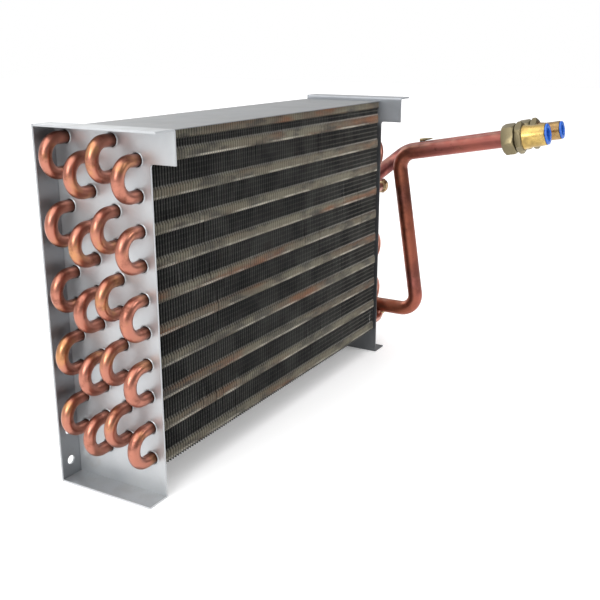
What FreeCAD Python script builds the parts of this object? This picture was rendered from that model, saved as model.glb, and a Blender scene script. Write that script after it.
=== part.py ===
"""Finned-tube coil heat exchanger with two side connections (millimetres).

Axes: X runs along the tubes, Y is the depth of the coil (air or liquid passes through the fins along Y),
Z is up. The frame's origin is the middle of the foot under the bend-end plate.
Inside this file the pieces are laid out from the bend-end plate's outer face (X = 0), the plates' front
edges (Y = 0) and the feet (Z = 0), and one shift moves every finished piece to the origin.
"""
import FreeCAD, Part
import math
import os

Vector = FreeCAD.Vector

# ---------------------------------------------------------------- driving dimensions
DIMENSIONS = [
    # core
    ("core_length", 381.0),          # outer face to outer face of the end plates
    ("row_edge", 12.0),              # end plate beyond the outer rows' centres
    ("plate_rise", 4.6),             # end plate above the fins
    ("sheet", 1.5),                  # end plate sheet
    ("flange", 20.0),                # turned-out edges of the end plates
    ("bend_radius", 2.2),            # outside radius of the turned edges
    ("ear_reach", 22.0),             # how far the ear stands forward of the plate
    ("ear_height", 25.0),
    ("ear_fillet", 3.0),
    # tubes
    ("tube_od", 9.52),
    ("tube_wall", 0.5),
    ("tube_pitch", 25.4),            # between tubes of one row
    ("row_pitch", 22.0),             # between rows
    ("row_count", 4.0),
    ("tubes_per_row", 10.0),
    ("lowest_tube", 31.6),           # height of the lowest tube of the front row
    ("near_lead", 8.0),              # straight length outside the bend-end plate
    ("far_lead", 9.0),               # straight length outside the header-end plate
    ("bell_reach", 8.0),             # end of the belled socket outside the header-end plate
    ("bell_depth", 5.0),
    ("bell_clearance", 0.09),
    ("plate_hole_clearance", 0.5),
    # fins and cover
    ("fin_pitch", 6.35),
    ("fin_sheet", 0.3),
    ("fin_inset", 3.0),              # fins stand back from the plate edges
    ("fin_margin", 5.5),             # fin beyond the outermost tube centres
    ("fin_hole_clearance", 0.3),
    ("fin_end_gap", 1.5),
    ("cover_sheet", 0.6),
    ("cover_gap", 0.1),
    ("cover_inset", 2.0),
    # mounting holes in the back flanges
    ("mount_hole", 7.5),
    ("mount_hole_low", 15.0),
    ("mount_hole_high", 41.5),
    # connection pipes
    ("pipe_od", 15.88),
    ("pipe_wall", 1.0),
    ("pipe_bend", 17.0),             # centreline radius
    ("header_reach", 36.0),          # header centre beyond the header-end plate
    ("outlet_header_z", 45.0),
    ("saddle_clearance", 0.05),
    ("header_overrun", 8.0),         # header pipe beyond the rear feeder
    ("cap_sheet", 1.5),
    ("cap_clearance", 0.02),         # cap flange off the header's end
    ("header_plug_depth", 5.0),      # plug inside the header's front end
    ("header_plug_stand", 4.0),      # plug's nose proud of the header's front end
    ("header_plug_rounding", 0.55),  # of the plug's radius
    ("leg_clearance", 0.2),          # bend leg off the bottom of its socket
    ("riser_bend", 0.95),            # riser tube's bend radius, in half tube pitches
    ("riser_swing", 0.86),           # height in which it swings across, in tube pitches
    ("feeder_bend", 0.9),            # in half tube pitches
    ("stub_straight", 0.35),         # share of the vent stub before its taper
    ("riser_foot_y", -34.2),
    ("riser_head_y", -5.3),
    ("riser_head_z", 220.6),
    ("run_tilt", 10.4),              # upward slope of the two connection runs, degrees
    ("run_spacing", 45.4),           # between the two runs along X
    ("inlet_corner_y", 3.5),
    ("inlet_branch_y", 36.0),
    ("inlet_plug_reach", 8.0),       # header plug's nose, from the plates' front edge plane
    ("outlet_run", 119.3),           # riser corner to the union nut's back face
    ("inlet_extra", 3.0),            # how much further forward the inlet union sits
    # unions
    ("hex_flats", 28.5),
    ("nut_length", 12.7),
    ("nut_wall", 2.5),
    ("nut_bore_clearance", 0.26),
    ("thread_od", 20.0),
    ("thread_clearance", 0.1),
    ("union_gap", 1.0),
    ("body_hex", 6.5),
    ("nose_length", 23.0),
    ("nose_taper", 8.5),
    ("outlet_nose_od", 22.0),
    ("inlet_nose_od", 19.2),
    ("nose_shoulder", 2.2),          # how much wider the nose is at the hex
    ("socket_clearance", 0.05),
    ("seal_sheet", 1.2),
    ("olive_length", 3.4),
    ("olive_rise", 1.6),
    ("hex_chamfer", 1.6),
    # dust plugs
    ("plug_rim", 1.8),
    ("plug_shank", 11.0),
    ("plug_wall", 1.4),
    ("plug_clearance", 0.3),
    ("plug_gap", 0.3),
    ("plug_rim_step", 0.45),         # rim radius below the nose radius
    ("nose_wall", 2.6),
    ("plug_floor", 2.0),
    ("plug_room", 1.0),              # mouth deeper than the plug's shank
    ("flat_turning", 0.2),           # chamfer's small end inside the hexagon's flats
    ("olive_clearance", 0.02),
    ("olive_gap", 0.2),              # olive off the nut's back wall
    ("spigot_gap", 0.2),             # spigot off the olive
    ("pipe_seat", 2.0),              # pipe's end past the union gap, inside the body
    ("seat_lip", 2.5),               # ledge that the seal and the pipe stand against
    ("seal_clearance", 0.05),
    # vent stub on the inlet run
    ("stub_od", 3.4),
    ("stub_length", 15.0),
    ("stub_from_corner", 17.0),
]

# Cells that follow from the others: the plates grow with the tubes they hold.
FORMULAS = [
    ("core_depth", "=(row_count - 1) * row_pitch + 2 * row_edge"),
    ("plate_height", "=lowest_tube + (tubes_per_row - 0.5) * tube_pitch + fin_margin + plate_rise"),
]
ROOM = 20.0      # how far a cutting tool runs past what it cuts
OVERLAP = 1.0    # how far fused bodies run into each other
SMALL = 0.01

doc = FreeCAD.newDocument("coil")
sheet = doc.addObject("Spreadsheet::Sheet", "dims")
for row, (alias, value) in enumerate(DIMENSIONS + FORMULAS, start=1):
    sheet.set("A%d" % row, alias)
    sheet.set("B%d" % row, value if isinstance(value, str) else "%g" % value)
    sheet.setAlias("B%d" % row, alias)
doc.recompute()


def size(alias):
    """The present value of one cell of the sheet."""
    return float(sheet.get(alias))


# ---------------------------------------------------------------- worked-out values
LENGTH = size("core_length")
DEPTH = size("core_depth")
HEIGHT = size("plate_height")
SHEET = size("sheet")
FLANGE = size("flange")
TUBE_R = size("tube_od") / 2
TUBE_BORE = TUBE_R - size("tube_wall")
PITCH = size("tube_pitch")
BEND_R = PITCH / 2
ROWS = int(size("row_count"))
TUBES = int(size("tubes_per_row"))
FIRST_ROW_Y = (DEPTH - (ROWS - 1) * size("row_pitch")) / 2
PIPE_R = size("pipe_od") / 2
PIPE_BORE = PIPE_R - size("pipe_wall")
HEADER_X = LENGTH + size("header_reach")
INLET_X = HEADER_X + size("run_spacing")
TILT = math.radians(size("run_tilt"))
RUN_DIRECTION = Vector(0, -math.cos(TILT), math.sin(TILT))
SOCKET_START = LENGTH + size("bell_reach") - size("bell_depth")
ORIGIN_SHIFT = Vector(FLANGE / 2, -DEPTH / 2, 0)


def row_y(row):
    return FIRST_ROW_Y + row * size("row_pitch")


def tube_z(row, tube):
    """Height of a tube centre: tube 1 is the top one, and every other row is half a pitch higher."""
    lowest = size("lowest_tube") + (BEND_R if row % 2 else 0)
    return lowest + (TUBES - tube) * PITCH


pieces = []


def keep(piece, label):
    """Name a finished piece, move it to the frame's origin and list it for export."""
    piece.Label = label
    piece.Placement = FreeCAD.Placement(ORIGIN_SHIFT, FreeCAD.Rotation()).multiply(piece.Placement)
    pieces.append(piece)
    return piece


def bind(piece, **formulas):
    """Tie properties of an object to formulas on the sheet."""
    for name, formula in formulas.items():
        piece.setExpression(name.replace("_dot_", "."), formula)
    return piece


def box(name, length, width, height, corner):
    """A box whose three sizes and corner are formulas."""
    piece = doc.addObject("Part::Box", name)
    bind(piece, Length=length, Width=width, Height=height)
    for axis, formula in zip("xyz", corner):
        piece.setExpression("Placement.Base." + axis, formula)
    return piece


def cylinder(name, radius, height, start="0"):
    """A cylinder along Z from start."""
    piece = doc.addObject("Part::Cylinder", name)
    bind(piece, Radius=radius, Height=height)
    piece.setExpression("Placement.Base.z", start)
    return piece


def cone(name, radius_low, radius_high, height, start):
    piece = doc.addObject("Part::Cone", name)
    bind(piece, Radius1=radius_low, Radius2=radius_high, Height=height)
    piece.setExpression("Placement.Base.z", start)
    return piece


def hexagon(name, height, start):
    """A hexagonal prism along Z, sized across its flats."""
    piece = doc.addObject("Part::Prism", name)
    piece.Polygon = 6
    bind(piece, Circumradius="dims.hex_flats / 2 / cos(30)", Height=height)
    piece.setExpression("Placement.Base.z", start)
    return piece


def fuse(name, shapes):
    piece = doc.addObject("Part::MultiFuse", name)
    piece.Shapes = shapes
    piece.Refine = True
    return piece


def cut(name, base, tool):
    piece = doc.addObject("Part::Cut", name)
    piece.Base = base
    piece.Tool = tool
    piece.Refine = True
    return piece


def common(name, shapes):
    piece = doc.addObject("Part::MultiCommon", name)
    piece.Shapes = shapes
    return piece


def feature(label, shape):
    """A piece whose shape is made with Part's own functions."""
    piece = doc.addObject("Part::Feature", label)
    piece.Shape = shape
    return keep(piece, label)


# ---------------------------------------------------------------- swept tubes
def path_through(points, radius):
    """Straight runs through the points, each corner rounded to the radius."""
    edges = []
    start = points[0]
    for before, corner, after in zip(points, points[1:], points[2:]):
        into = (corner - before).normalize()
        out = (after - corner).normalize()
        turn = into.getAngle(out)
        tangent = radius * math.tan(turn / 2)
        first = corner - into * tangent
        last = corner + out * tangent
        to_middle = (out - into).normalize() * (radius / math.cos(turn / 2) - radius)
        edges.append(Part.LineSegment(start, first).toShape())
        edges.append(Part.Arc(first, corner + to_middle, last).toShape())
        start = last
    edges.append(Part.LineSegment(start, points[-1]).toShape())
    return Part.Wire(edges)


def ring_face(centre, along, outer, inner):
    """The flat section of a tube."""
    disc = Part.Face(Part.Wire(Part.makeCircle(outer, centre, along)))
    hole = Part.Face(Part.Wire(Part.makeCircle(inner, centre, along)))
    return disc.cut(hole).Faces[0]


def swept_tube(points, radius, outer, inner):
    """A round tube along a rounded path."""
    along = (points[1] - points[0]).normalize()
    path = path_through(points, radius)
    tube = path.makePipe(ring_face(points[0], along, outer, inner)).Solids[0]
    expected = math.pi * (outer ** 2 - inner ** 2) * path.Length
    print("tube", round(path.Length, 1), "mm, volume ratio", round(tube.Volume / expected, 4))
    return tube


def u_tube(start_x, lead_x, side):
    """A tube bent back on itself by a half circle."""
    section = ring_face(Vector(start_x, 0, BEND_R), Vector(-side, 0, 0), TUBE_R, TUBE_BORE)
    top = Part.LineSegment(Vector(start_x, 0, BEND_R), Vector(lead_x, 0, BEND_R)).toShape()
    half = Part.Arc(Vector(lead_x, 0, BEND_R), Vector(lead_x + side * BEND_R, 0, 0),
                    Vector(lead_x, 0, -BEND_R)).toShape()
    low = Part.LineSegment(Vector(lead_x, 0, -BEND_R), Vector(start_x, 0, -BEND_R)).toShape()
    return Part.Wire([top, half, low]).makePipe(section).Solids[0]


def moved(shape, offset, turn=0.0):
    """A copy turned about X by turn degrees and then moved."""
    copy = shape.copy()
    copy.Placement = FreeCAD.Placement(offset, FreeCAD.Rotation(Vector(1, 0, 0), turn))
    return copy


# ---------------------------------------------------------------- end plates, cover and fins
def tube_drills(name, clearance):
    """One long cylinder on every tube centre, for cutting the holes."""
    drills = []
    for row in range(ROWS):
        for tube in range(1, TUBES + 1):
            drill = doc.addObject("Part::Cylinder", "%s_%d_%d" % (name, row + 1, tube))
            bind(drill, Radius="dims.tube_od / 2 + dims." + clearance,
                 Height="dims.core_length + %g" % ROOM)
            half = "dims.tube_pitch / 2" if row % 2 else "0"
            height = "dims.lowest_tube + %s + %d * dims.tube_pitch" % (half, TUBES - tube)
            depth = "dims.core_depth / 2 + %g * dims.row_pitch" % (row - (ROWS - 1) / 2)
            drill.Placement.Rotation = FreeCAD.Rotation(Vector(0, 1, 0), 90)
            for axis, formula in (("x", "%g" % (-ROOM / 2)), ("y", depth), ("z", height)):
                drill.setExpression("Placement.Base." + axis, formula)
            drills.append(drill)
    holes = doc.addObject("Part::Compound", name)
    holes.Links = drills
    return holes


def bend_edges(shape, face_x):
    """Numbers of the edges where the flanges turn out of the plate, on its inner face."""
    chosen = []
    for number, edge in enumerate(shape.Edges, start=1):
        if len(edge.Vertexes) != 2:
            continue
        ends = [vertex.Point for vertex in edge.Vertexes]
        on_face = all(abs(end.x - face_x) < SMALL for end in ends)
        on_top = all(abs(end.z - HEIGHT) < SMALL for end in ends)
        on_foot = all(abs(end.z) < SMALL for end in ends)
        on_back = all(abs(end.y - DEPTH) < SMALL for end in ends)
        if on_face and (on_top or on_foot or on_back):
            chosen.append(number)
    return chosen


def ear_edge(shape):
    """Number of the edge in the corner below the ear."""
    for number, edge in enumerate(shape.Edges, start=1):
        middle = edge.CenterOfMass
        straight_across = abs(edge.Length - SHEET) < SMALL
        if straight_across and abs(middle.y) < SMALL and abs(middle.z - HEIGHT + size("ear_height")) < SMALL:
            return number
    raise ValueError("no corner found below the ear")


def end_plate(label, web_x, flange_x, inner_face_x):
    """A tray-shaped sheet plate: web with an ear, and three edges turned out."""
    wide = "dims.flange + dims.sheet"
    web = box(label + "_web", "dims.sheet", "dims.core_depth", "dims.plate_height", (web_x, "0", "0"))
    ear = box(label + "_ear", "dims.sheet", "dims.ear_reach", "dims.ear_height",
              (web_x, "-dims.ear_reach", "dims.plate_height - dims.ear_height"))
    foot = box(label + "_foot", wide, "dims.core_depth", "dims.sheet", (flange_x, "0", "0"))
    back = box(label + "_back", wide, "dims.sheet", "dims.plate_height",
               (flange_x, "dims.core_depth - dims.sheet", "0"))
    top = box(label + "_top", wide, "dims.core_depth + dims.ear_reach", "dims.sheet",
              (flange_x, "-dims.ear_reach", "dims.plate_height - dims.sheet"))
    blank = fuse(label + "_blank", [web, ear, foot, back, top])
    doc.recompute()
    rounded = doc.addObject("Part::Fillet", label + "_rounded")
    rounded.Base = blank
    bends = [(n, size("bend_radius"), size("bend_radius")) for n in bend_edges(blank.Shape, inner_face_x)]
    corner = ear_edge(blank.Shape)
    rounded.Edges = bends + [(corner, size("ear_fillet"), size("ear_fillet"))]
    mounts = []
    for number, height in enumerate(("dims.mount_hole_low", "dims.mount_hole_high"), start=1):
        drill = doc.addObject("Part::Cylinder", "%s_mount_%d" % (label, number))
        bind(drill, Radius="dims.mount_hole / 2", Height="4 * dims.sheet")
        drill.Placement.Rotation = FreeCAD.Rotation(Vector(1, 0, 0), 90)
        middle = "-dims.flange / 2" if web_x == "0" else "dims.core_length + dims.flange / 2"
        for axis, formula in (("x", middle), ("y", "dims.core_depth + 2 * dims.sheet"), ("z", height)):
            drill.setExpression("Placement.Base." + axis, formula)
        mounts.append(drill)
    drilled = cut(label + "_drilled", rounded, plate_holes)
    for drill in mounts:
        drilled = cut(drill.Name + "_cut", drilled, drill)
    return keep(drilled, label)


plate_holes = tube_drills("plate_holes", "plate_hole_clearance")
end_plate("bend_end_plate", "0", "-dims.flange", SHEET)
end_plate("header_end_plate", "dims.core_length - dims.sheet", "dims.core_length - dims.sheet",
          LENGTH - SHEET)

cover = box("cover", "dims.core_length - 2 * dims.sheet - 2 * dims.cover_gap",
            "dims.core_depth - 2 * dims.cover_inset", "dims.cover_sheet",
            ("dims.sheet + dims.cover_gap", "dims.cover_inset", "0"))
cover.setExpression("Placement.Base.z", "dims.lowest_tube + (dims.tubes_per_row - 0.5) * dims.tube_pitch"
                    " + dims.fin_margin + dims.cover_gap")
top_cover = doc.addObject("Part::Refine", "top_cover_sheet")
top_cover.Source = cover
doc.recompute()
keep(top_cover, "top_cover")


def fin_pack():
    """Thin sheets on the tubes, spaced evenly between the end plates."""
    blank = box("fin_blank", "dims.fin_sheet", "dims.core_depth - 2 * dims.fin_inset",
                "(dims.tubes_per_row - 0.5) * dims.tube_pitch + 2 * dims.fin_margin",
                ("0", "dims.fin_inset", "dims.lowest_tube - dims.fin_margin"))
    fin = cut("fin", blank, tube_drills("fin_holes", "fin_hole_clearance"))
    doc.recompute()
    room = LENGTH - 2 * SHEET - 2 * size("fin_end_gap")
    count = int(room / size("fin_pitch")) + 1
    first = (LENGTH - (count - 1) * size("fin_pitch") - size("fin_sheet")) / 2
    print("fins", count)
    fins = [moved(fin.Shape, Vector(first + n * size("fin_pitch"), 0, 0)) for n in range(count)]
    return feature("fin_pack", Part.makeCompound(fins))


fin_pack()


# ---------------------------------------------------------------- tubes of the core
def bell(z):
    """The widened end of a tube, which takes the leg of a bend."""
    inner = TUBE_R + size("bell_clearance")
    outer = inner + size("tube_wall")
    start = SOCKET_START - size("tube_wall")
    axis = Vector(1, 0, 0)
    depth = size("bell_depth")
    ring = Part.makeCylinder(outer, depth + size("tube_wall"), Vector(start, 0, z), axis)
    ring = ring.cut(Part.makeCylinder(inner, depth + OVERLAP, Vector(SOCKET_START, 0, z), axis))
    return ring.cut(Part.makeCylinder(TUBE_BORE, depth, Vector(start - OVERLAP, 0, z), axis))


def hairpin():
    """One tube bent double: two passes through the fins and a half circle at the bend end."""
    tube = u_tube(SOCKET_START, -size("near_lead"), -1)
    return tube.fuse([bell(BEND_R), bell(-BEND_R)]).removeSplitter()


def between(row, upper, lower):
    """Centre between two tubes of one row."""
    return Vector(0, row_y(row), (tube_z(row, upper) + tube_z(row, lower)) / 2)


hairpin_shape = hairpin()
LEG_START = SOCKET_START + size("leg_clearance")
return_shape = u_tube(LEG_START, LENGTH + size("far_lead"), 1)
ROW_NAMES = ["front_row", "second_row", "third_row", "back_row"]

for row in range(ROWS):
    doubles = [moved(hairpin_shape, between(row, tube, tube + 1)) for tube in range(1, TUBES, 2)]
    feature("hairpins_" + ROW_NAMES[row], Part.makeCompound(doubles))

# In the front row of each pair, tube 4 takes the inlet and tube 5 the riser from the second row.
for row in range(ROWS):
    joined = [2, 6, 8] if row % 2 == 0 else [2, 4, 6, 8]
    bends = [moved(return_shape, between(row, tube, tube + 1)) for tube in joined]
    feature("return_bends_" + ROW_NAMES[row], Part.makeCompound(bends))


def crossover(front):
    """A bend that joins the top tubes of two neighbouring rows."""
    a = Vector(0, row_y(front), tube_z(front, 1))
    b = Vector(0, row_y(front + 1), tube_z(front + 1, 1))
    turn = -math.degrees(math.atan2(b.y - a.y, b.z - a.z))
    return moved(return_shape, (a + b) * 0.5, turn)


def jumper(front):
    """The long bend from the lowest tube of the second row up to tube 5 of the front row."""
    rise_x = LENGTH + size("far_lead") + BEND_R
    middle_y = (row_y(front) + row_y(front + 1)) / 2
    low = tube_z(front + 1, TUBES)
    high = tube_z(front, 5)
    step = size("riser_swing") * PITCH
    points = [Vector(LEG_START, row_y(front + 1), low), Vector(rise_x, row_y(front + 1), low),
              Vector(rise_x, middle_y, low + step), Vector(rise_x, middle_y, high - step),
              Vector(rise_x, row_y(front), high), Vector(LEG_START, row_y(front), high)]
    return swept_tube(points, size("riser_bend") * BEND_R, TUBE_R, TUBE_BORE)


for front, name in ((0, "front_pair"), (2, "rear_pair")):
    feature("top_crossover_" + name, crossover(front))
    feature("riser_tube_" + name, jumper(front))


# ---------------------------------------------------------------- headers and connection pipes
def along_y(radius, x, z, start_y, end_y):
    return Part.makeCylinder(radius, end_y - start_y, Vector(x, start_y, z), Vector(0, 1, 0))


INLET_Z = tube_z(0, 4)
OUTLET_Z = size("outlet_header_z")
REAR_END = row_y(2) + size("header_overrun")
FRONT_END = size("inlet_plug_reach") + size("header_plug_stand")
FEED_ROWS = (0, 2)
saddle_r = PIPE_R + size("saddle_clearance")


def feeders(label, tube, header_z):
    """Short tubes from the fins' sockets to a header, their ends saddled to its wall."""
    tool = along_y(saddle_r, HEADER_X, header_z, -ROOM, DEPTH)
    made = []
    for row in FEED_ROWS:
        y, z = row_y(row), tube_z(row, tube)
        start = Vector(LEG_START, y, z)
        if abs(z - header_z) < SMALL:
            wall = swept_tube([start, Vector(HEADER_X, y, z)], BEND_R, TUBE_R, TUBE_BORE)
        else:
            corner = Vector(HEADER_X, y, z)
            wall = swept_tube([start, corner, Vector(HEADER_X, y, header_z)],
                              size("feeder_bend") * BEND_R, TUBE_R, TUBE_BORE)
        parts = wall.cut(tool).Solids
        made.append(max(parts, key=lambda part: part.Volume))
    feature(label, Part.makeCompound(made))
    return made


def drill_feeds(pipe, tube, header_z):
    """Holes in a header where its feeders join."""
    for row in FEED_ROWS:
        y, z = row_y(row), tube_z(row, tube)
        if abs(z - header_z) < SMALL:
            start = Vector(HEADER_X - PIPE_R - OVERLAP, y, z)
            drill = Part.makeCylinder(TUBE_BORE, PIPE_R, start, Vector(1, 0, 0))
        else:
            drill = Part.makeCylinder(TUBE_BORE, PIPE_R, Vector(HEADER_X, y, header_z - PIPE_R - OVERLAP))
        pipe = pipe.cut(drill)
    return pipe


def end_cap(label, x, z):
    """A flat cap let into the rear end of a header."""
    sheet_gauge = size("cap_sheet")
    neck_r = PIPE_BORE - size("saddle_clearance")
    neck = along_y(neck_r, x, z, REAR_END - sheet_gauge, REAR_END + sheet_gauge / 2)
    lip = along_y(PIPE_R, x, z, REAR_END + size("cap_clearance"), REAR_END + sheet_gauge)
    feature(label, neck.fuse(lip).removeSplitter())


# inlet side: header at the level of tube 4, with a branch pipe to the upper run
feeders("inlet_feeders", 4, INLET_Z)
branch_start = Vector(HEADER_X, size("inlet_branch_y"), INLET_Z)
corner_drop = math.tan(TILT) * (size("inlet_corner_y") - size("riser_head_y"))
inlet_corner = Vector(INLET_X, size("inlet_corner_y"), size("riser_head_z") - corner_drop)
branch_direction = (inlet_corner - branch_start).normalize()

header = along_y(PIPE_R, HEADER_X, INLET_Z, FRONT_END, REAR_END)
header = header.cut(along_y(PIPE_BORE, HEADER_X, INLET_Z, FRONT_END - OVERLAP, REAR_END + OVERLAP))
header = drill_feeds(header, 4, INLET_Z)
branch_hole = Part.makeCylinder(PIPE_BORE - size("pipe_wall"), 2 * PIPE_R, branch_start, branch_direction)
header = header.cut(branch_hole)
feature("inlet_header", header)
end_cap("inlet_header_cap", HEADER_X, INLET_Z)

plug_r = PIPE_BORE - size("saddle_clearance")
plug = along_y(plug_r, HEADER_X, INLET_Z, size("inlet_plug_reach"),
               FRONT_END + size("header_plug_depth"))
tip = [edge for edge in plug.Edges if abs(edge.CenterOfMass.y - size("inlet_plug_reach")) < SMALL]
feature("inlet_header_plug", plug.makeFillet(size("header_plug_rounding") * plug_r, tip))

UNION_SEAT = size("union_gap") + size("nut_length")
PIPE_IN_UNION = UNION_SEAT + size("union_gap") + size("pipe_seat")


def run_end(corner, back_face):
    """End of a connection pipe, inside its union."""
    return corner + RUN_DIRECTION * (back_face + PIPE_IN_UNION)


riser_head = Vector(HEADER_X, size("riser_head_y"), size("riser_head_z"))
outlet_back = size("outlet_run")
forward_gap = (size("inlet_corner_y") - size("riser_head_y")) / math.cos(TILT)
inlet_back = outlet_back + forward_gap + size("inlet_extra")

inlet_points = [branch_start, inlet_corner, run_end(inlet_corner, inlet_back)]
inlet_tube = swept_tube(inlet_points, size("pipe_bend"), PIPE_R, PIPE_BORE)
inlet_tube = inlet_tube.cut(along_y(saddle_r, HEADER_X, INLET_Z, -ROOM, DEPTH))
inlet_tube = max(inlet_tube.Solids, key=lambda part: part.Volume)
feature("inlet_pipe", inlet_tube)

# outlet side: the header and the pipe are one length, bent twice
feeders("outlet_feeders", TUBES, OUTLET_Z)
outlet_points = [Vector(HEADER_X, REAR_END, OUTLET_Z), Vector(HEADER_X, size("riser_foot_y"), OUTLET_Z),
                 riser_head, run_end(riser_head, outlet_back)]
outlet_tube = swept_tube(outlet_points, size("pipe_bend"), PIPE_R, PIPE_BORE)
feature("outlet_pipe", drill_feeds(outlet_tube, TUBES, OUTLET_Z))
end_cap("outlet_header_cap", HEADER_X, OUTLET_Z)


def vent_stub():
    """A pinched-off vent brazed along the top of the inlet run."""
    stub_r = size("stub_od") / 2
    up = Vector(0, math.sin(TILT), math.cos(TILT))
    start = inlet_corner + RUN_DIRECTION * size("stub_from_corner")
    start = start + up * (PIPE_R + stub_r + size("saddle_clearance"))
    straight = size("stub_straight") * size("stub_length")
    body = Part.makeCylinder(stub_r, straight, start, RUN_DIRECTION)
    taper = Part.makeCone(stub_r, stub_r / 3, size("stub_length") - straight,
                          start + RUN_DIRECTION * straight, RUN_DIRECTION)
    return feature("vent_stub", body.fuse(taper).removeSplitter())


vent_stub()


# ---------------------------------------------------------------- unions and dust plugs
BODY_START = "(dims.nut_length + dims.union_gap)"
BODY_END = "(dims.nut_length + dims.union_gap + dims.body_hex)"
SEAL_START = "(dims.nut_length + 2 * dims.union_gap + dims.pipe_seat + dims.seal_clearance)"


def chamfered_hex(name, height, start, low, high):
    """A hexagon whose corners are turned off by cones at the ends named."""
    prism = hexagon(name + "_hex", height, start)
    flat_r = "dims.hex_flats / 2 - dims.flat_turning"
    corner_r = "dims.hex_flats / 2 / cos(30) + %g" % SMALL
    middle_start = start + (" + dims.hex_chamfer" if low else "")
    trims = " - dims.hex_chamfer" * (int(low) + int(high))
    parts = [cylinder(name + "_mid", corner_r, "(" + height + ")" + trims, middle_start)]
    if low:
        parts.append(cone(name + "_low", flat_r, corner_r, "dims.hex_chamfer", start))
    if high:
        top = start + " + " + height + " - dims.hex_chamfer"
        parts.append(cone(name + "_high", corner_r, flat_r, "dims.hex_chamfer", top))
    return common(name + "_turned", [prism, fuse(name + "_envelope", parts)])


def union_nut(label):
    """Hexagon nut: a back wall close round the pipe, and a wide threaded bore."""
    blank = chamfered_hex(label, "dims.nut_length", "0", True, True)
    hole = cylinder(label + "_hole", "dims.pipe_od / 2 + dims.nut_bore_clearance",
                    "dims.nut_length + %g" % ROOM, "%g" % (-ROOM / 2))
    bore = cylinder(label + "_bore", "dims.thread_od / 2 + dims.thread_clearance", "dims.nut_length",
                    "dims.nut_wall")
    return cut(label, blank, fuse(label + "_inside", [hole, bore]))


def union_body(label, nose):
    """Spigot, hexagon and smooth nose turned from one bar, bored from both ends."""
    spigot_start = "(dims.nut_wall + dims.olive_gap + dims.olive_length + dims.spigot_gap)"
    spigot = cylinder(label + "_spigot", "dims.thread_od / 2",
                      BODY_START + " - " + spigot_start + " + %g" % OVERLAP, spigot_start)
    middle = chamfered_hex(label, "dims.body_hex", BODY_START, True, True)
    shoulder = cone(label + "_shoulder", nose + " / 2 + dims.nose_shoulder / 2", nose + " / 2",
                    "dims.nose_taper", BODY_END)
    tip = cylinder(label + "_tip", nose + " / 2", "dims.nose_length - dims.nose_taper",
                   BODY_END + " + dims.nose_taper")
    joint = cylinder(label + "_joint", nose + " / 2 - %g" % OVERLAP, "%g" % (2 * OVERLAP),
                     BODY_END + " - %g" % OVERLAP)
    outside = fuse(label + "_outside", [spigot, middle, shoulder, tip, joint])
    socket = cylinder(label + "_socket", "dims.pipe_od / 2 + dims.socket_clearance",
                      SEAL_START + " + dims.seal_sheet + dims.seal_clearance", "0")
    through = cylinder(label + "_through", "dims.pipe_od / 2 - dims.seat_lip",
                       BODY_END + " + dims.nose_length + %g" % OVERLAP, "0")
    mouth = cylinder(label + "_mouth", nose + " / 2 - dims.nose_wall",
                     "dims.plug_shank + dims.plug_room + %g" % OVERLAP,
                     BODY_END + " + dims.nose_length - dims.plug_shank - dims.plug_room")
    return cut(label, outside, fuse(label + "_inside", [socket, through, mouth]))


def dust_plug(label, nose):
    """Moulded plug: a hollow shank in the nose's mouth and a rim that stays outside."""
    start = BODY_END + " + dims.nose_length + dims.plug_gap"
    rim = cylinder(label + "_rim", nose + " / 2 - dims.plug_rim_step", "dims.plug_rim", start)
    shank_r = nose + " / 2 - dims.nose_wall - dims.plug_clearance"
    shank = cylinder(label + "_shank", shank_r,
                     "dims.plug_shank + %g" % OVERLAP, start + " - dims.plug_shank")
    hollow = cylinder(label + "_hollow", shank_r + " - dims.plug_wall",
                      "dims.plug_shank + dims.plug_rim", start + " - dims.plug_shank + dims.plug_floor")
    return cut(label, fuse(label + "_outside", [rim, shank]), hollow)


def ring(label, inner, outer, height, start):
    return cut(label, cylinder(label + "_outer", outer, height, start),
               cylinder(label + "_inner", inner, height + " + %g" % (2 * OVERLAP), start + " - %g" % OVERLAP))


NUT_TURN = 12.0    # degrees that the nuts stand turned from the bodies


def on_run(piece, label, corner, back_face, turn=0.0):
    """Put a turned piece on a connection run, its own Z along the run."""
    doc.recompute()
    direction = FreeCAD.Rotation(Vector(0, 0, 1), RUN_DIRECTION)
    spin = FreeCAD.Rotation(Vector(0, 0, 1), turn)
    piece.Placement = FreeCAD.Placement(corner + RUN_DIRECTION * back_face, direction.multiply(spin))
    keep(piece, label)


for side, corner, back_face in (("outlet", riser_head, outlet_back), ("inlet", inlet_corner, inlet_back)):
    nose = "dims." + side + "_nose_od"
    on_run(union_nut(side + "_nut"), side + "_union_nut", corner, back_face, NUT_TURN)
    on_run(union_body(side + "_body", nose), side + "_union_body", corner, back_face)
    on_run(ring(side + "_ferrule", "dims.pipe_od / 2 + dims.olive_clearance",
                "dims.pipe_od / 2 + dims.olive_rise", "dims.olive_length",
                "dims.nut_wall + dims.olive_gap"), side + "_olive", corner, back_face)
    on_run(ring(side + "_washer", "dims.pipe_od / 2 - dims.seat_lip", "dims.pipe_od / 2",
                "dims.seal_sheet", SEAL_START),
           side + "_seal", corner, back_face)
    on_run(dust_plug(side + "_cap", nose), side + "_dust_plug", corner, back_face)


# ---------------------------------------------------------------- checks and export
doc.recompute()
faults = [item.Label for item in doc.Objects if "Invalid" in item.State or "Error" in item.State]
if faults:
    raise RuntimeError("objects in error: " + ", ".join(faults))
for piece in pieces:
    if piece.Shape.isNull() or not piece.Shape.isValid():
        raise RuntimeError("bad shape: " + piece.Label)

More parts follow.
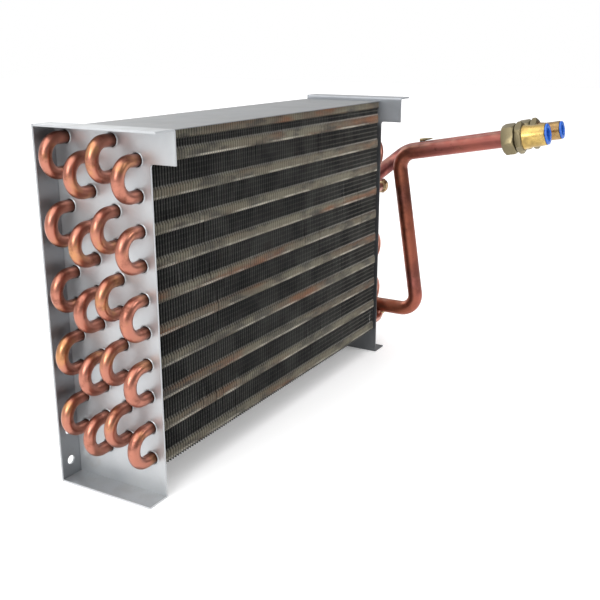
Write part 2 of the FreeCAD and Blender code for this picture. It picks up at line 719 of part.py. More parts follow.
os.makedirs("parts", exist_ok=True)
whole = Part.makeCompound([piece.Shape for piece in pieces]).BoundBox
for piece in pieces:
    piece.Shape.exportStep("parts/%s.step" % piece.Label)
    print(piece.Label, len(piece.Shape.Solids), round(piece.Shape.Volume, 1))
print("box", [round(v, 2) for v in (whole.XMin, whole.YMin, whole.ZMin, whole.XMax, whole.YMax, whole.ZMax)])
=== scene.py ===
# %% [markdown]
# # A finned-tube coil with two side connections
#
# The object is a block of thin aluminium fins between two folded steel plates. Forty copper
# tubes run through the block and are joined into circuits by half-round bends, and two thicker
# copper pipes lead off to brass unions with blue dust plugs.
#
# The measured model comes first, as a fixed frame. It already has the true size and the true
# holes, so everything that is added here is placed from it, never by eye.

# %% Load the fixed frame
import math
import random
import bpy
from mathutils import Matrix, Vector


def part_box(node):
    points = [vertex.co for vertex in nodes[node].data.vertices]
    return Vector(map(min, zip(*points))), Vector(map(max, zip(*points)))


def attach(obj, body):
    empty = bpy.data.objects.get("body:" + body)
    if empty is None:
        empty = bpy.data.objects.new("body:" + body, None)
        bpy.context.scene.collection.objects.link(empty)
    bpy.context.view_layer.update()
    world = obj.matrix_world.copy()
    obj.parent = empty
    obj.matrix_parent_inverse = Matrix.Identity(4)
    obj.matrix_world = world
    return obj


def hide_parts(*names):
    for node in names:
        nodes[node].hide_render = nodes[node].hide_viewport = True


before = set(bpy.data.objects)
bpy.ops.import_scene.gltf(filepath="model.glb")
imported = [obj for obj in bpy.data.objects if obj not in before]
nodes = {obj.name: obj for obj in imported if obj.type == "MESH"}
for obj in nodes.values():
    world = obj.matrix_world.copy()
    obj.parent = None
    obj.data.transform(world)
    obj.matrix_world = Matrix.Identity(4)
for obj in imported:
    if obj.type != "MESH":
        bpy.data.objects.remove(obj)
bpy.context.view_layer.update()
MM = 0.001

# %% [markdown]
# ## Camera, light and floor
#
# A long lens of about 52 mm, a little above the object and near the end with the open bends,
# gives the calm perspective of a catalogue. The room is a plain white one with a pale
# floor. Most of the light comes from above and from the side of the open bends, as from a large
# window, and little from the side that the fins face. Polished copper and brass show what is
# around them, so the room is a little darker there. Without it the round tubes would look flat,
# because they would mirror white from every direction.

# %% Camera and soft studio light
scene = bpy.context.scene
scene.view_settings.view_transform = "Standard"

CAMERA_PLACE = Vector((-0.4576, -0.4323, 0.3396))
CAMERA_TURN = math.radians(29.83)
CAMERA_DIP = math.radians(-16.68)
camera_data = bpy.data.cameras.new("studio_camera")
camera_data.lens = 51.9
camera_data.sensor_width = 36.0
camera_data.clip_start = 0.01
camera = bpy.data.objects.new("studio_camera", camera_data)
scene.collection.objects.link(camera)
looking = Vector((math.cos(CAMERA_TURN) * math.cos(CAMERA_DIP),
                  math.sin(CAMERA_TURN) * math.cos(CAMERA_DIP),
                  math.sin(CAMERA_DIP)))
camera.location = CAMERA_PLACE
camera.rotation_euler = looking.to_track_quat("-Z", "Y").to_euler()
scene.camera = camera


def soft_lamp(name, place, target, size, power):
    """A square area lamp aimed at a point."""
    lamp_data = bpy.data.lights.new(name, "AREA")
    lamp_data.size = size
    lamp_data.energy = power
    lamp = bpy.data.objects.new(name, lamp_data)
    lamp.location = place
    aim = (Vector(target) - Vector(place)).to_track_quat("-Z", "Y")
    lamp.rotation_euler = aim.to_euler()
    scene.collection.objects.link(lamp)
    return lamp


CORE_MIDDLE = (0.2, 0.0, 0.14)
soft_lamp("bend_end_softbox", (-1.3, -0.1, 0.9), CORE_MIDDLE, 0.7, 9.0)
soft_lamp("connection_softbox", (0.7, -1.5, 1.3), CORE_MIDDLE, 0.6, 7.0)
soft_lamp("rear_softbox", (0.8, 1.5, 1.2), CORE_MIDDLE, 1.0, 8.0)

window_data = bpy.data.lights.new("window_light", "SUN")
window_data.energy = 1.7
window_data.angle = math.radians(75.0)
window = bpy.data.objects.new("window_light", window_data)
window.rotation_euler = Vector((0.32, 0.12, -0.94)).to_track_quat("-Z", "Y").to_euler()
scene.collection.objects.link(window)


# %% A room that is white to the eye, with a darker side for the metal to mirror
room = bpy.data.worlds.new("studio_room")
scene.world = room
room.use_nodes = True
room_tree = room.node_tree
room_tree.nodes.clear()
room_out = room_tree.nodes.new("ShaderNodeOutputWorld")
seen = room_tree.nodes.new("ShaderNodeBackground")
seen.inputs["Color"].default_value = (1.0, 1.0, 1.0, 1.0)
mirrored = room_tree.nodes.new("ShaderNodeBackground")
mirrored.inputs["Strength"].default_value = 0.95
direction = room_tree.nodes.new("ShaderNodeTexCoord")
across = room_tree.nodes.new("ShaderNodeVectorMath")
across.operation = "DOT_PRODUCT"
across.inputs[1].default_value = (0.42, -0.88, -0.20)
shades = room_tree.nodes.new("ShaderNodeValToRGB")
shades.color_ramp.elements[0].position = 0.35
shades.color_ramp.elements[0].color = (1.0, 1.0, 1.0, 1.0)
shades.color_ramp.elements[1].position = 0.80
shades.color_ramp.elements[1].color = (0.16, 0.16, 0.17, 1.0)
half_range = room_tree.nodes.new("ShaderNodeMath")
half_range.operation = "MULTIPLY_ADD"
half_range.inputs[1].default_value = 0.5
half_range.inputs[2].default_value = 0.5
looked_at = room_tree.nodes.new("ShaderNodeLightPath")
choice = room_tree.nodes.new("ShaderNodeMixShader")
room_tree.links.new(direction.outputs["Generated"], across.inputs[0])
room_tree.links.new(across.outputs["Value"], half_range.inputs[0])
room_tree.links.new(half_range.outputs[0], shades.inputs["Fac"])
room_tree.links.new(shades.outputs["Color"], mirrored.inputs["Color"])
room_tree.links.new(looked_at.outputs["Is Camera Ray"], choice.inputs["Fac"])
room_tree.links.new(mirrored.outputs[0], choice.inputs[1])
room_tree.links.new(seen.outputs[0], choice.inputs[2])
room_tree.links.new(choice.outputs[0], room_out.inputs["Surface"])

# %% [markdown]
# ## A small kit for materials
#
# Every finish below is a Principled shader fed by noise, stripes and masks. A short helper adds
# a node and connects its inputs in one line, so that the recipes read like recipes. Effects that
# several finishes share, such as stains, dust and worn edges, are node groups: each is made once
# and placed in a material with that material's own values.

# %% Helpers that add and connect nodes


def wire(tree, socket, value):
    """Connect a socket to another one, or set it to a constant."""
    if isinstance(value, bpy.types.NodeSocket):
        tree.links.new(value, socket)
    else:
        socket.default_value = value


def add(tree, kind, values=(), **settings):
    """Add a node, set its properties, and fill its inputs by name or number."""
    node = tree.nodes.new(kind)
    for key, value in settings.items():
        setattr(node, key, value)
    for key, value in dict(values).items():
        wire(tree, node.inputs[key], value)
    return node


def math_node(tree, operation, a, b=0.0, c=0.0, clamp=False):
    return add(tree, "ShaderNodeMath", {0: a, 1: b, 2: c}, operation=operation, use_clamp=clamp).outputs[0]


def ramp(tree, value, low, high, out_low=0.0, out_high=1.0):
    """Rescale a value between two limits, with soft shoulders."""
    node = add(tree, "ShaderNodeMapRange", {"Value": value, "From Min": low, "From Max": high,
                                            "To Min": out_low, "To Max": out_high},
               interpolation_type="SMOOTHSTEP")
    return node.outputs["Result"]


def blend_colours(tree, factor, a, b):
    node = add(tree, "ShaderNodeMix", {"Factor": factor}, data_type="RGBA")
    wire(tree, node.inputs[6], a)
    wire(tree, node.inputs[7], b)
    return node.outputs[2]


def rgb(red, green, blue):
    """A colour given as the eye judges it on a screen, 0 to 255, turned to linear light."""
    linear = [((v / 255 + 0.055) / 1.055) ** 2.4 if v > 10 else v / 255 / 12.92 for v in (red, green, blue)]
    return (*linear, 1.0)


def group(name, inputs, outputs):
    """An empty node group with float inputs, given as name to default, and named outputs."""
    tree = bpy.data.node_groups.new(name, "ShaderNodeTree")
    for label, default in inputs.items():
        kind = "NodeSocketVector" if isinstance(default, tuple) else "NodeSocketFloat"
        socket = tree.interface.new_socket(label, in_out="INPUT", socket_type=kind)
        socket.default_value = default
    for label in outputs:
        tree.interface.new_socket(label, in_out="OUTPUT", socket_type="NodeSocketFloat")
    return tree, tree.nodes.new("NodeGroupInput").outputs, tree.nodes.new("NodeGroupOutput").inputs


def placed(tree, shared, **values):
    """A shared group placed in a material, with its own values."""
    node = tree.nodes.new("ShaderNodeGroup")
    node.node_tree = shared
    for label, value in values.items():
        wire(tree, node.inputs[label.replace("_", " ")], value)
    return node.outputs


# %% Shared effect: stains
stains, given, result = group(
    "stains", {"Scale": 20.0, "Low": 0.45, "High": 0.65, "Stretch": (1.0, 1.0, 1.0)}, ["Mask"])
spot = add(stains, "ShaderNodeTexCoord").outputs["Object"]
spot = add(stains, "ShaderNodeVectorMath", {0: spot, 1: given["Stretch"]}, operation="MULTIPLY").outputs[0]
cloud = add(stains, "ShaderNodeTexNoise", {"Vector": spot, "Scale": given["Scale"], "Detail": 6.0,
                                           "Roughness": 0.62}).outputs["Fac"]
wire(stains, result["Mask"], ramp(stains, cloud, given["Low"], given["High"]))

# %% Shared effect: dust that settles on what faces up
dust, given, result = group("settled_dust", {"Scale": 60.0, "Amount": 0.5}, ["Mask"])
normal = add(dust, "ShaderNodeNewGeometry").outputs["Normal"]
facing = add(dust, "ShaderNodeSeparateXYZ", {0: normal}).outputs["Z"]
spot = add(dust, "ShaderNodeTexCoord").outputs["Object"]
cloud = add(dust, "ShaderNodeTexNoise", {"Vector": spot, "Scale": given["Scale"], "Detail": 5.0})
up = ramp(dust, facing, 0.15, 0.95)
patchy = ramp(dust, cloud.outputs["Fac"], 0.35, 0.65)
lying = math_node(dust, "MULTIPLY", up, patchy)
wire(dust, result["Mask"], math_node(dust, "MULTIPLY", lying, given["Amount"]))

# %% Shared effect: edges rubbed bright
worn_edges, given, result = group("worn_edges", {"Width": 0.5, "Scale": 150.0}, ["Mask"])
sharpness = add(worn_edges, "ShaderNodeNewGeometry").outputs["Pointiness"]
spot = add(worn_edges, "ShaderNodeTexCoord").outputs["Object"]
cloud = add(worn_edges, "ShaderNodeTexNoise", {"Vector": spot, "Scale": given["Scale"]}).outputs["Fac"]
raised = ramp(worn_edges, sharpness, 0.52, 0.60)
wire(worn_edges, result["Mask"], math_node(worn_edges, "MULTIPLY", raised,
                                           ramp(worn_edges, cloud, given["Width"], 0.75)))

# %% Shared effect: fine drawing lines along one direction
drawn_lines, given, result = group("drawn_lines", {"Stretch": (4.0, 400.0, 400.0)}, ["Height"])
spot = add(drawn_lines, "ShaderNodeTexCoord").outputs["Object"]
spot = add(drawn_lines, "ShaderNodeVectorMath", {0: spot, 1: given["Stretch"]}, operation="MULTIPLY")
lines = add(drawn_lines, "ShaderNodeTexNoise", {"Vector": spot.outputs[0], "Scale": 1.0, "Detail": 4.0})
wire(drawn_lines, result["Height"], lines.outputs["Fac"])
print("shared effects:", [g.name for g in bpy.data.node_groups])


# %% Helper that starts a material
def finish_named(name, roughness=0.5, metallic=0.0):
    """A new material with a Principled shader, and its node tree."""
    material = bpy.data.materials.new(name)
    material.use_nodes = True
    shader = material.node_tree.nodes["Principled BSDF"]
    shader.inputs["Roughness"].default_value = roughness
    shader.inputs["Metallic"].default_value = metallic
    return material, material.node_tree, shader


def bumped(tree, shader, height, strength, distance):
    """Feed a height through a Bump node to the shader's normal."""
    bump = add(tree, "ShaderNodeBump", {"Height": height, "Strength": strength, "Distance": distance})
    wire(tree, shader.inputs["Normal"], bump.outputs["Normal"])


# %% [markdown]
# ## Sheet steel
#
# The end plates and the cover are zinc-coated sheet. It is not mirror-like: the coating scatters
# light, with faint cloudy patches and rolling marks, and a warm tint where flux or finger marks
# have dried. The plate beside the headers is darker except near its top, partly as soot from the
# torch and partly as painted shade. Painted shade also darkens the far flange of the bend plate,
# and a painted highlight lightens its outermost edges. One recipe makes all three sheets, with
# different tones.

# %% Zinc-coated sheet
bend_plate_low, bend_plate_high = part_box("bend_end_plate")
header_plate_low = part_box("header_end_plate")[0]
SHEET = 0.0015
SOOT_AND_SHADE_FADES_AT = 0.262
SOOT_AND_SHADE_FULL_AT = 0.250


def sheet_finish(name, tone, dark_tone, stain_amount, lines, soot_and_painted_shade=0.0):
    """Zinc-coated sheet in two close tones. lines stretches the rolling marks; the last argument darkens it
    low down, partly as soot and partly as painted shade.
    """
    material, tree, shader = finish_named(name, 0.4, 0.8)
    patches = placed(tree, stains, Scale=16.0, Low=0.3, High=0.7)["Mask"]
    fine = placed(tree, stains, Scale=140.0, Low=0.25, High=0.8)["Mask"]
    base = blend_colours(tree, patches, dark_tone, tone)
    base = blend_colours(tree, math_node(tree, "MULTIPLY", fine, 0.18), base, dark_tone)
    tint = placed(tree, stains, Scale=34.0, Low=0.60, High=0.78)["Mask"]
    base = blend_colours(tree, math_node(tree, "MULTIPLY", tint, stain_amount), base, rgb(150, 128, 104))
    specks = placed(tree, stains, Scale=330.0, Low=0.70, High=0.76)["Mask"]
    base = blend_colours(tree, math_node(tree, "MULTIPLY", specks, 0.45), base, rgb(84, 84, 84))
    powder = placed(tree, dust, Amount=0.28)["Mask"]
    base = blend_colours(tree, powder, base, rgb(150, 148, 144))
    spot = add(tree, "ShaderNodeSeparateXYZ", {0: add(tree, "ShaderNodeTexCoord").outputs["Object"]}).outputs
    # Darker low down: partly soot from the torch, partly painted shade.
    low_down = ramp(tree, spot["Z"], SOOT_AND_SHADE_FADES_AT, SOOT_AND_SHADE_FULL_AT)
    base = blend_colours(tree, math_node(tree, "MULTIPLY", low_down, soot_and_painted_shade), base, rgb(70, 71, 72))
    # Painted shade: the inner face of the far flange, in the tray behind the bends, is darkened.
    far_flange_painted_shade = ramp(tree, spot["Y"], bend_plate_high.y - 0.0026, bend_plate_high.y - 0.0012)
    base = blend_colours(tree, math_node(tree, "MULTIPLY", far_flange_painted_shade, 0.6), base, rgb(104, 107, 112))
    # Painted highlight: the plate's outermost 0.7 mm towards the open bends is lightened towards white.
    rim = ramp(tree, spot["X"], bend_plate_low.x + 0.0011, bend_plate_low.x + 0.0007)
    base = blend_colours(tree, math_node(tree, "MULTIPLY", rim, 0.3), base, rgb(214, 216, 218))
    wire(tree, shader.inputs["Base Color"], base)
    wire(tree, shader.inputs["Roughness"], ramp(tree, patches, 0.0, 1.0, 0.36, 0.44))
    marks = placed(tree, drawn_lines, Stretch=lines)["Height"]
    bumped(tree, shader, marks, 0.04, 0.0002)
    return material


UPRIGHT_LINES = (220.0, 220.0, 8.0)
LENGTHWISE_LINES = (5.0, 260.0, 260.0)
plate_zinc = sheet_finish("plate_zinc", rgb(194, 197, 199), rgb(178, 181, 184), 0.24, UPRIGHT_LINES)
header_zinc = sheet_finish("header_zinc", rgb(172, 175, 180), rgb(160, 164, 169), 0.14, UPRIGHT_LINES, 0.85)
cover_zinc = sheet_finish("cover_zinc", rgb(138, 140, 142), rgb(132, 135, 138), 0.05, LENGTHWISE_LINES)

# %% [markdown]
# ## Copper
#
# Two kinds of copper are in the coil. The thin tube is half bright: pink where it is clean,
# golden where the torch or the annealing oven coloured it, and darkened to brown near the plates
# as painted shade. The thick connection pipes have been heated all over during brazing,
# so they carry a skin of red-brown oxide with pink and olive clouds, pinker along the runs to the
# unions. Both are metals with a soft polish, and both are very slightly uneven to the touch.

# %% Thin copper tube
BEND_FACE_X = bend_plate_high.x - SHEET
HEADER_FACE_X = header_plate_low.x + SHEET


def tube_finish(name, clean, gold, brown, gold_low, brown_amount):
    """Thin copper. gold_low is where the golden patches begin: the lower, the more of them."""
    material, tree, shader = finish_named(name, 0.3, 1.0)
    golden = placed(tree, stains, Scale=30.0, Low=gold_low, High=gold_low + 0.16)["Mask"]
    base = blend_colours(tree, golden, clean, gold)
    cloudy = placed(tree, stains, Scale=75.0, Low=0.50, High=0.74)["Mask"]
    base = blend_colours(tree, math_node(tree, "MULTIPLY", cloudy, brown_amount), base, brown)
    place = add(tree, "ShaderNodeTexCoord").outputs["Object"]
    along = add(tree, "ShaderNodeSeparateXYZ", {0: place}).outputs["X"]
    # Painted shade: the tube is darkened to brown where it meets either plate.
    by_bend_plate = ramp(tree, along, BEND_FACE_X - 0.0085, BEND_FACE_X - 0.0010)
    by_header_plate = ramp(tree, along, HEADER_FACE_X + 0.012, HEADER_FACE_X + 0.003)
    painted_shade_by_plates = math_node(tree, "MULTIPLY", by_bend_plate, by_header_plate)
    base = blend_colours(tree, math_node(tree, "MULTIPLY", painted_shade_by_plates, 0.85), base, rgb(80, 46, 35))
    specks = placed(tree, stains, Scale=420.0, Low=0.66, High=0.74)["Mask"]
    base = blend_colours(tree, math_node(tree, "MULTIPLY", specks, 0.5), base, rgb(96, 58, 44))
    wire(tree, shader.inputs["Base Color"], base)
    wire(tree, shader.inputs["Roughness"], ramp(tree, cloudy, 0.0, 1.0, 0.33, 0.48))
    bumped(tree, shader, placed(tree, stains, Scale=260.0, Low=0.2, High=0.8)["Mask"], 0.10, 0.0002)
    return material


bend_copper = tube_finish("bend_copper", rgb(178, 118, 100), rgb(192, 138, 96), rgb(102, 60, 48), 0.50, 0.85)
rear_copper = tube_finish("rear_copper", rgb(190, 136, 120), rgb(196, 146, 98), rgb(116, 76, 66), 0.54, 0.75)

# %% Thick copper pipe, oxidised by the torch


RUN_FROM_Y = -0.055


def pipe_finish(name, warm, dark):
    """Torch-browned copper between two tones, under pink, olive and burnt clouds."""
    material, tree, shader = finish_named(name, 0.36, 0.92)
    wide = placed(tree, stains, Scale=22.0, Low=0.38, High=0.62)["Mask"]
    base = blend_colours(tree, wide, dark, warm)
    place = add(tree, "ShaderNodeTexCoord").outputs["Object"]
    sideways = add(tree, "ShaderNodeSeparateXYZ", {0: place}).outputs["Y"]
    on_run = ramp(tree, sideways, RUN_FROM_Y, RUN_FROM_Y - 0.05)
    base = blend_colours(tree, math_node(tree, "MULTIPLY", on_run, 0.6), base, rgb(168, 98, 92))
    pink = placed(tree, stains, Scale=46.0, Low=0.48, High=0.68, Stretch=(1.0, 0.35, 0.6))["Mask"]
    base = blend_colours(tree, math_node(tree, "MULTIPLY", pink, 0.45), base, rgb(186, 112, 102))
    olive = placed(tree, stains, Scale=27.0, Low=0.60, High=0.74)["Mask"]
    base = blend_colours(tree, math_node(tree, "MULTIPLY", olive, 0.55), base, rgb(104, 92, 66))
    burnt = placed(tree, stains, Scale=120.0, Low=0.60, High=0.72)["Mask"]
    base = blend_colours(tree, math_node(tree, "MULTIPLY", burnt, 0.5), base, rgb(78, 44, 36))
    powder = placed(tree, dust, Scale=90.0, Amount=0.35)["Mask"]
    base = blend_colours(tree, powder, base, rgb(190, 150, 132))
    wire(tree, shader.inputs["Base Color"], base)
    rough = ramp(tree, pink, 0.0, 1.0, 0.42, 0.28)
    wire(tree, shader.inputs["Roughness"], rough)
    bumped(tree, shader, placed(tree, stains, Scale=190.0, Low=0.2, High=0.8)["Mask"], 0.14, 0.0002)
    return material


outlet_copper = pipe_finish("outlet_copper", rgb(152, 88, 66), rgb(92, 54, 43))
inlet_copper = pipe_finish("inlet_copper", rgb(132, 76, 72), rgb(84, 48, 48))

# %% [markdown]
# ## Brass, rubber, plastic and braze
#
# The unions are turned from brass bar. The hexagons are dull and grey-olive, because nobody
# polishes them, while the noses come bright from the lathe and show fine rings. The plugs are
# soft blue polythene with a slight sheen. Braze is the lumpy, silvery-gold metal that fills the
# joints between the tubes.

# %% Brass, plastic, rubber and braze


def brass_finish(name, bright, dull, dull_low, ring_strength):
    """Brass, bright or dull. ring_strength is how deep the lathe has left its rings."""
    material, tree, shader = finish_named(name, 0.34, 0.95)
    aged = placed(tree, stains, Scale=70.0, Low=dull_low, High=dull_low + 0.22)["Mask"]
    base = blend_colours(tree, aged, bright, dull)
    speckled = placed(tree, stains, Scale=300.0, Low=0.55, High=0.70)["Mask"]
    base = blend_colours(tree, math_node(tree, "MULTIPLY", speckled, 0.35), base, rgb(112, 94, 60))
    edge = placed(tree, worn_edges, Width=0.15)["Mask"]
    base = blend_colours(tree, math_node(tree, "MULTIPLY", edge, 0.7), base, rgb(214, 192, 138))
    wire(tree, shader.inputs["Base Color"], base)
    wire(tree, shader.inputs["Roughness"], ramp(tree, aged, 0.0, 1.0, 0.27, 0.46))
    rings = placed(tree, drawn_lines, Stretch=(40.0, 1500.0, 300.0))["Height"]
    bumped(tree, shader, rings, ring_strength, 0.0002)
    return material


dull_brass = brass_finish("dull_brass", rgb(160, 146, 112), rgb(128, 118, 92), 0.26, 0.08)
bright_brass = brass_finish("bright_brass", rgb(196, 166, 98), rgb(168, 142, 86), 0.46, 0.05)
aged_brass = brass_finish("aged_brass", rgb(160, 128, 84), rgb(128, 102, 72), 0.36, 0.05)

plug_blue, tree, shader = finish_named("plug_blue", 0.38)
scuffed = placed(tree, stains, Scale=160.0, Low=0.45, High=0.75)["Mask"]
wire(tree, shader.inputs["Base Color"], blend_colours(tree, scuffed, rgb(30, 92, 190), rgb(52, 118, 210)))
wire(tree, shader.inputs["Roughness"], ramp(tree, scuffed, 0.0, 1.0, 0.32, 0.5))
bumped(tree, shader, scuffed, 0.08, 0.0002)

seal_black, tree, shader = finish_named("seal_black", 0.7)
powder = placed(tree, stains, Scale=220.0, Low=0.4, High=0.7)["Mask"]
wire(tree, shader.inputs["Base Color"], blend_colours(tree, powder, rgb(28, 28, 29), rgb(54, 53, 52)))
bumped(tree, shader, powder, 0.1, 0.0002)

braze_metal, tree, shader = finish_named("braze_metal", 0.36, 1.0)
flux = placed(tree, stains, Scale=180.0, Low=0.42, High=0.66)["Mask"]
wire(tree, shader.inputs["Base Color"], blend_colours(tree, flux, rgb(206, 186, 142), rgb(110, 84, 60)))
wire(tree, shader.inputs["Roughness"], ramp(tree, flux, 0.0, 1.0, 0.28, 0.58))
bumped(tree, shader, placed(tree, stains, Scale=420.0, Low=0.2, High=0.8)["Mask"], 0.3, 0.0003)
print("finishes:", len(bpy.data.materials))

# %% [markdown]
# ## The fins' own finish
#
# The fins are bare aluminium, years of dust between them. Looking between two fins the light is
# trapped and almost black comes back, but level with each front tube the fin is pressed outward
# and catches the light in a pale, dusty band. The shape makes most of that difference. The
# finish helps with dust that is thickest in the band: its height above the nearest tube is found
# from the place along Z, which repeats with every tube. A painted highlight runs near white along
# the lower crease of each band. Deeper between the fins the colour is painted dark as shade, and
# painted highlights stand for faint ripples in the dark zones, stronger towards the headers.

# %% Dusty fin aluminium
TUBE_PITCH = 0.0254
FRONT_LOWEST_TUBE = 0.0316
RIPPLE_PITCH = 0.0042
FIN_HALF_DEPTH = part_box("fin_pack")[1].y

fin_metal, tree, shader = finish_named("fin_metal", 0.4, 0.9)
place = add(tree, "ShaderNodeTexCoord").outputs["Object"]
fin_xyz = add(tree, "ShaderNodeSeparateXYZ", {0: place}).outputs
level = math_node(tree, "SUBTRACT", fin_xyz["Z"], FRONT_LOWEST_TUBE - TUBE_PITCH / 2)
level = math_node(tree, "DIVIDE", level, TUBE_PITCH)
level = math_node(tree, "FRACT", level)
above_tube = math_node(tree, "MULTIPLY", math_node(tree, "SUBTRACT", level, 0.5), TUBE_PITCH)
band = math_node(tree, "MULTIPLY", ramp(tree, above_tube, -0.0040, -0.0030),
                 ramp(tree, above_tube, 0.0070, 0.0026))
band = math_node(tree, "MAXIMUM", band, ramp(tree, fin_xyz["Z"], 0.2712, 0.2728))
# Painted highlight: a near-white line along the lower crease of each band.
band_edge_highlight = math_node(tree, "MULTIPLY", ramp(tree, above_tube, -0.0038, -0.0029),
                      ramp(tree, above_tube, -0.0014, -0.0024))
grime = placed(tree, stains, Scale=26.0, Low=0.34, High=0.66)["Mask"]
base = blend_colours(tree, grime, rgb(124, 124, 121), rgb(88, 89, 88))
# Painted highlight: light lines for faint ripples in the dark zones, stronger towards the headers.
ripple_highlight = math_node(tree, "SINE", math_node(tree, "MULTIPLY", above_tube, 2.0 * math.pi / RIPPLE_PITCH))
toward_header = ramp(tree, fin_xyz["X"], 0.20, 0.37, 0.14, 0.62)
ripple_highlight = math_node(tree, "MULTIPLY", ramp(tree, ripple_highlight, 0.35, 0.95), toward_header)
base = blend_colours(tree, ripple_highlight, base, rgb(196, 192, 184))
streaks = placed(tree, stains, Scale=18.0, Low=0.40, High=0.66, Stretch=(0.55, 1.0, 2.2))["Mask"]
dusty = blend_colours(tree, streaks, rgb(138, 132, 114), rgb(120, 103, 86))
clotted = placed(tree, stains, Scale=44.0, Low=0.46, High=0.64, Stretch=(0.7, 1.0, 1.8))["Mask"]
dusty = blend_colours(tree, math_node(tree, "MULTIPLY", clotted, 0.75), dusty, rgb(76, 74, 70))
rusty = placed(tree, stains, Scale=15.0, Low=0.50, High=0.68, Stretch=(0.6, 1.0, 2.6))["Mask"]
dusty = blend_colours(tree, math_node(tree, "MULTIPLY", rusty, 0.85), dusty, rgb(150, 98, 66))
base = blend_colours(tree, math_node(tree, "MULTIPLY", band, 0.90), base, dusty)
bright = placed(tree, stains, Scale=24.0, Low=0.42, High=0.62, Stretch=(0.7, 1.0, 1.6))["Mask"]
base = blend_colours(tree, math_node(tree, "MULTIPLY", band_edge_highlight, math_node(tree, "MULTIPLY", bright, 0.85)),
                     base, rgb(226, 220, 206))
smeared = placed(tree, stains, Scale=30.0, Low=0.55, High=0.70, Stretch=(1.0, 1.0, 1.5))["Mask"]
base = blend_colours(tree, math_node(tree, "MULTIPLY", smeared, 0.4), base, rgb(104, 100, 94))
nicks = placed(tree, stains, Scale=240.0, Low=0.71, High=0.76)["Mask"]
base = blend_colours(tree, math_node(tree, "MULTIPLY", nicks, 0.8), base, rgb(214, 210, 202))
# Painted shade: deeper between the fins the colour falls to near black.
depth_in = math_node(tree, "SUBTRACT", FIN_HALF_DEPTH, math_node(tree, "ABSOLUTE", fin_xyz["Y"]))
painted_shade_between_fins = ramp(tree, depth_in, 0.0002, 0.0022)
base = blend_colours(tree, math_node(tree, "MULTIPLY", painted_shade_between_fins, 0.92), base, rgb(30, 30, 30))
wire(tree, shader.inputs["Base Color"], base)
less_metal = math_node(tree, "MULTIPLY", band, 0.30)
wire(tree, shader.inputs["Metallic"], math_node(tree, "SUBTRACT", 0.70, less_metal))
wire(tree, shader.inputs["Roughness"], math_node(tree, "ADD", 0.38, math_node(tree, "MULTIPLY", band, 0.12)))
bumped(tree, shader, placed(tree, stains, Scale=500.0, Low=0.2, High=0.8)["Mask"], 0.2, 0.0002)


# %% [markdown]
# ## Modelling helpers
#
# Most new pieces are turned or pressed, so two helpers carry the work. One lays a circle and
# extrudes and scales it ring by ring, exactly as one would with E and S in edit mode. The other
# puts a finished piece in its place, applies that place to the mesh, gives it its finish, and
# says which body it rides on.

# %% Helpers that model and place


def select_only(*objects):
    """Leave object mode's selection on these objects alone."""
    bpy.ops.object.select_all(action="DESELECT")
    for item in objects:
        item.select_set(True)
    bpy.context.view_layer.objects.active = objects[0]


def turned(name, profile, segments=48):
    """A body of revolution about Z from (radius, height) pairs in millimetres.

    A profile whose last point is its first one is a ring. Any other is capped at both ends."""
    closed = profile[0] == profile[-1]
    bpy.ops.object.select_all(action="DESELECT")
    radius, height = profile[0]
    bpy.ops.mesh.primitive_circle_add(vertices=segments, radius=radius * MM, location=(0, 0, height * MM),
                                      fill_type="NOTHING" if closed else "NGON")
    piece = bpy.context.object
    piece.name = name
    bpy.ops.object.mode_set(mode="EDIT")
    bpy.ops.mesh.select_all(action="SELECT")
    for (r0, h0), (r1, h1) in zip(profile, profile[1:]):
        bpy.ops.mesh.extrude_region_move(TRANSFORM_OT_translate={"value": (0, 0, (h1 - h0) * MM)})
        bpy.ops.transform.resize(value=(r1 / r0, r1 / r0, 1), center_override=(0, 0, h1 * MM))
    bpy.ops.mesh.select_all(action="SELECT")
    bpy.ops.mesh.remove_doubles(threshold=1e-7)
    bpy.ops.mesh.normals_make_consistent(inside=False)
    bpy.ops.object.mode_set(mode="OBJECT")
    bpy.ops.object.transform_apply(location=True, rotation=True, scale=True)
    return piece


def combine(piece, tool, operation):
    """Join, cut or keep what two closed pieces share, and remove the tool."""
    select_only(piece)
    change = piece.modifiers.new("combine", "BOOLEAN")
    change.operation = operation
    change.solver = "EXACT"
    change.object = tool
    bpy.ops.object.modifier_apply(modifier=change.name)
    bpy.data.objects.remove(tool)
    return piece


def softened(piece, width, segments=2, angle=30.0):
    """A small bevel on the sharp edges."""
    select_only(piece)
    bevel = piece.modifiers.new("soften", "BEVEL")
    bevel.width = width * MM
    bevel.segments = segments
    bevel.limit_method = "ANGLE"
    bevel.angle_limit = math.radians(angle)
    bpy.ops.object.modifier_apply(modifier=bevel.name)
    return piece


def put(piece, matrix):
    """Move a piece to its place and keep that place in its mesh."""
    select_only(piece)
    piece.matrix_world = matrix
    bpy.ops.object.transform_apply(location=True, rotation=True, scale=True)
    return piece


def copies(master, name, matrices):
    """Copies of a piece at several places, joined into one object; the master is removed."""
    made = []
    for matrix in matrices:
        twin = master.copy()
        twin.data = master.data.copy()
        scene.collection.objects.link(twin)
        made.append(put(twin, matrix @ master.matrix_world))
    bpy.data.objects.remove(master)
    select_only(*made)
    if len(made) > 1:
        bpy.ops.object.join()
    made[0].name = name
    return made[0]


def dressed(piece, finish, body, replaced=(), smooth=35.0, second=None):
    """Give a piece its finish and shading, and say what it rides on and stands for.

    second is another finish and the numbers of the faces that have it."""
    select_only(piece)
    if smooth:
        bpy.ops.object.shade_smooth_by_angle(angle=math.radians(smooth))
    piece.data.materials.clear()
    piece.data.materials.append(finish)
    if second:
        piece.data.materials.append(second[0])
        for number in second[1]:
            piece.data.polygons[number].material_index = 1
    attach(piece, body)
    if replaced:
        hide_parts(*replaced)
    print(piece.name, len(piece.data.polygons), "faces")
    return piece


